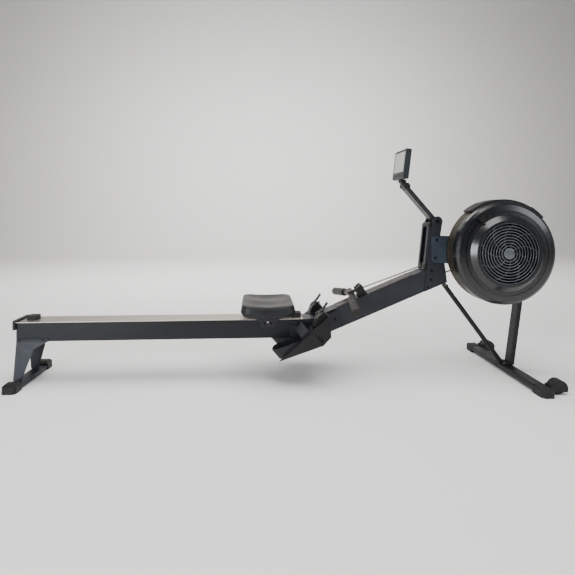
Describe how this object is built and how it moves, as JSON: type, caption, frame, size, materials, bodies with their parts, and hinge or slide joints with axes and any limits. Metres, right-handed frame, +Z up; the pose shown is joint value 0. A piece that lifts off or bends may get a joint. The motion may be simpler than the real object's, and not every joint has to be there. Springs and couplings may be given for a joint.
{
  "type": "rowing machine",
  "caption": "Air-resistance rowing machine: level rail with sliding seat, sloping boom, footrests, chain handle, side-mounted flywheel housing and folding monitor.",
  "frame": {"origin": "on the floor, under the middle of the machine's bounding box", "axes": "+X from the tail of the rail towards the flywheel, +Z up, -Y is the side the flywheel housing is on"},
  "size_m": [2.448, 0.61, 1.0617],
  "materials": {
    "rail_paint": "satin",
    "track_steel": "brushed",
    "black_plastic": "fine texture",
    "rubber": "matte",
    "tail_paint": "satin",
    "bolt_steel": "blackened",
    "boom_paint": "satin",
    "strip_plastic": "satin",
    "plate_paint": "satin",
    "axle_steel": "turned",
    "grille_wire": "gloss",
    "cover_plastic": "gloss",
    "rim_mesh": "satin",
    "fan_plastic": "matte",
    "stand_paint": "satin",
    "caster_rubber": "matte",
    "flex_plastic": "satin",
    "webbing": "woven",
    "chain_steel": "bright",
    "handle_steel": "blackened",
    "grip_rubber": "matte",
    "yoke_plastic": "satin",
    "seat_skin": "moulded skin",
    "seat_shell": "satin",
    "carriage_paint": "satin",
    "roller_plastic": "satin",
    "arm_paint": "satin",
    "case_plastic": "satin",
    "screen_glass": "gloss"
  },
  "bodies": {
    "frame": {"rail_beam": "rail_paint", "rail_track": "track_steel", "rail_end_cap": "black_plastic", "tail_foot_ends": "black_plastic", "handle_rest": "black_plastic", "post_cap": "black_plastic", "chain_guide": "black_plastic", "front_foot_ends": "black_plastic", "footrest_skirts": "black_plastic", "footplates": "black_plastic", "toe_pads": "black_plastic", "drum_clips": "black_plastic", "drum_top_shroud": "black_plastic", "seat_stops": "rubber", "tail_leg_plates": "tail_paint", "tail_foot_bar": "tail_paint", "frame_bolts": "bolt_steel", "arm_pivot_bolt": "bolt_steel", "boom_beam": "boom_paint", "joint_cheeks": "boom_paint", "post_plates": "boom_paint", "post_channel": "boom_paint", "boom_top_strip": "strip_plastic", "drum_plates": "plate_paint", "drum_axle": "axle_steel", "drum_back_cover": "cover_plastic", "drum_near_cover": "cover_plastic", "drum_grille": "grille_wire", "drum_rim_band": "rim_mesh", "front_leg": "stand_paint", "front_strut": "stand_paint", "front_foot_bar": "stand_paint", "foot_strap_near": "webbing", "foot_strap_far": "webbing", "chain": "chain_steel"},
    "handle": {"handle_bar": "handle_steel", "handle_grips": "grip_rubber", "handle_yoke": "yoke_plastic"},
    "sprocket": {"sprocket": "axle_steel"},
    "flywheel": {"flywheel_fan": "fan_plastic"},
    "damper": {"damper_lever": "cover_plastic"},
    "seat": {"saddle_pad": "seat_skin", "saddle_base": "seat_shell", "seat_carriage": "carriage_paint", "seat_axles": "axle_steel"},
    "rear_rollers": {"rollers_rear": "roller_plastic"},
    "front_rollers": {"rollers_front": "roller_plastic"},
    "lower_rollers": {"guide_rollers": "roller_plastic"},
    "flexfoot_near": {"flexfoot_near": "flex_plastic"},
    "flexfoot_far": {"flexfoot_far": "flex_plastic"},
    "caster_near": {"caster_near": "caster_rubber"},
    "caster_far": {"caster_far": "caster_rubber"},
    "monitor_arm": {"monitor_arm": "arm_paint"},
    "monitor": {"monitor_case": "case_plastic", "monitor_screen": "screen_glass", "monitor_bracket": "black_plastic"},
    "tilt_knob": {"monitor_knob": "black_plastic"},
    "button_1": {"monitor_button_1": "rubber"},
    "button_2": {"monitor_button_2": "rubber"},
    "button_3": {"monitor_button_3": "rubber"}
  },
  "joints": [
    {"name": "seat_slide", "type": "slide", "parent": "frame", "child": "seat", "axis": [1, 0, 0], "range_m": [-0.98, 0.045]},
    {"name": "rear_rollers_turn", "type": "hinge", "parent": "seat", "child": "rear_rollers", "pos_m": [-0.147, 0, 0.2861], "axis": [0, 1, 0], "range_deg": [-5200, 300]},
    {"name": "front_rollers_turn", "type": "hinge", "parent": "seat", "child": "front_rollers", "pos_m": [-0.027, 0, 0.2861], "axis": [0, 1, 0], "range_deg": [-5200, 300]},
    {"name": "lower_rollers_turn", "type": "hinge", "parent": "seat", "child": "lower_rollers", "pos_m": [-0.087, 0, 0.2627], "axis": [0, 1, 0], "range_deg": [-300, 6300]},
    {"name": "handle_pull", "type": "slide", "parent": "frame", "child": "handle", "axis": [-0.9537, 0, 0.3007], "range_m": [0, 1.05], "stiffness_N_per_m": 6, "springref_m": -2, "deforming": ["chain"]},
    {"name": "sprocket_turn", "type": "hinge", "parent": "frame", "child": "sprocket", "pos_m": [0.988, 0, 0.58], "axis": [0, 1, 0], "range_deg": [-2150, 30]},
    {"name": "flywheel_spin", "type": "hinge", "parent": "frame", "child": "flywheel", "pos_m": [0.988, 0, 0.58], "axis": [0, 1, 0], "continuous": true},
    {"name": "damper_set", "type": "hinge", "parent": "frame", "child": "damper", "pos_m": [0.988, 0, 0.58], "axis": [0, 1, 0], "range_deg": [-32, 28]},
    {"name": "flexfoot_near_set", "type": "slide", "parent": "frame", "child": "flexfoot_near", "axis": [0.7513, 0, 0.66], "range_m": [-0.035, 0.01]},
    {"name": "flexfoot_far_set", "type": "slide", "parent": "frame", "child": "flexfoot_far", "axis": [0.7513, 0, 0.66], "range_m": [-0.035, 0.01]},
    {"name": "caster_near_turn", "type": "hinge", "parent": "frame", "child": "caster_near", "pos_m": [1.128, -0.259, 0.027], "axis": [0, 1, 0], "continuous": true},
    {"name": "caster_far_turn", "type": "hinge", "parent": "frame", "child": "caster_far", "pos_m": [1.128, 0.259, 0.027], "axis": [0, 1, 0], "continuous": true},
    {"name": "monitor_arm_fold", "type": "hinge", "parent": "frame", "child": "monitor_arm", "pos_m": [0.71335, 0, 0.72221], "axis": [0, 1, 0], "range_deg": [-37, 25]},
    {"name": "monitor_tilt", "type": "hinge", "parent": "monitor_arm", "child": "monitor", "pos_m": [0.56836, 0, 0.889], "axis": [0, 1, 0], "range_deg": [-30, 25]},
    {"name": "tilt_knob_turn", "type": "hinge", "parent": "monitor_arm", "child": "tilt_knob", "pos_m": [0.56836, -0.03, 0.889], "axis": [0, 1, 0], "range_deg": [-180, 180]},
    {"name": "button_1_press", "type": "slide", "parent": "monitor", "child": "button_1", "axis": [0.9925, 0, -0.1219], "range_m": [0, 0.0012], "stiffness_N_per_m": 300, "springref_m": -0.002},
    {"name": "button_2_press", "type": "slide", "parent": "monitor", "child": "button_2", "axis": [0.9925, 0, -0.1219], "range_m": [0, 0.0012], "stiffness_N_per_m": 300, "springref_m": -0.002},
    {"name": "button_3_press", "type": "slide", "parent": "monitor", "child": "button_3", "axis": [0.9925, 0, -0.1219], "range_m": [0, 0.0012], "stiffness_N_per_m": 300, "springref_m": -0.002}
  ],
  "couplings": [
    {"joint": "rear_rollers_turn", "follows": "seat_slide", "rad_per_m": 90.909},
    {"joint": "front_rollers_turn", "follows": "seat_slide", "rad_per_m": 90.909},
    {"joint": "lower_rollers_turn", "follows": "seat_slide", "rad_per_m": -111.11},
    {"joint": "sprocket_turn", "follows": "handle_pull", "rad_per_m": -35.043}
  ]
}
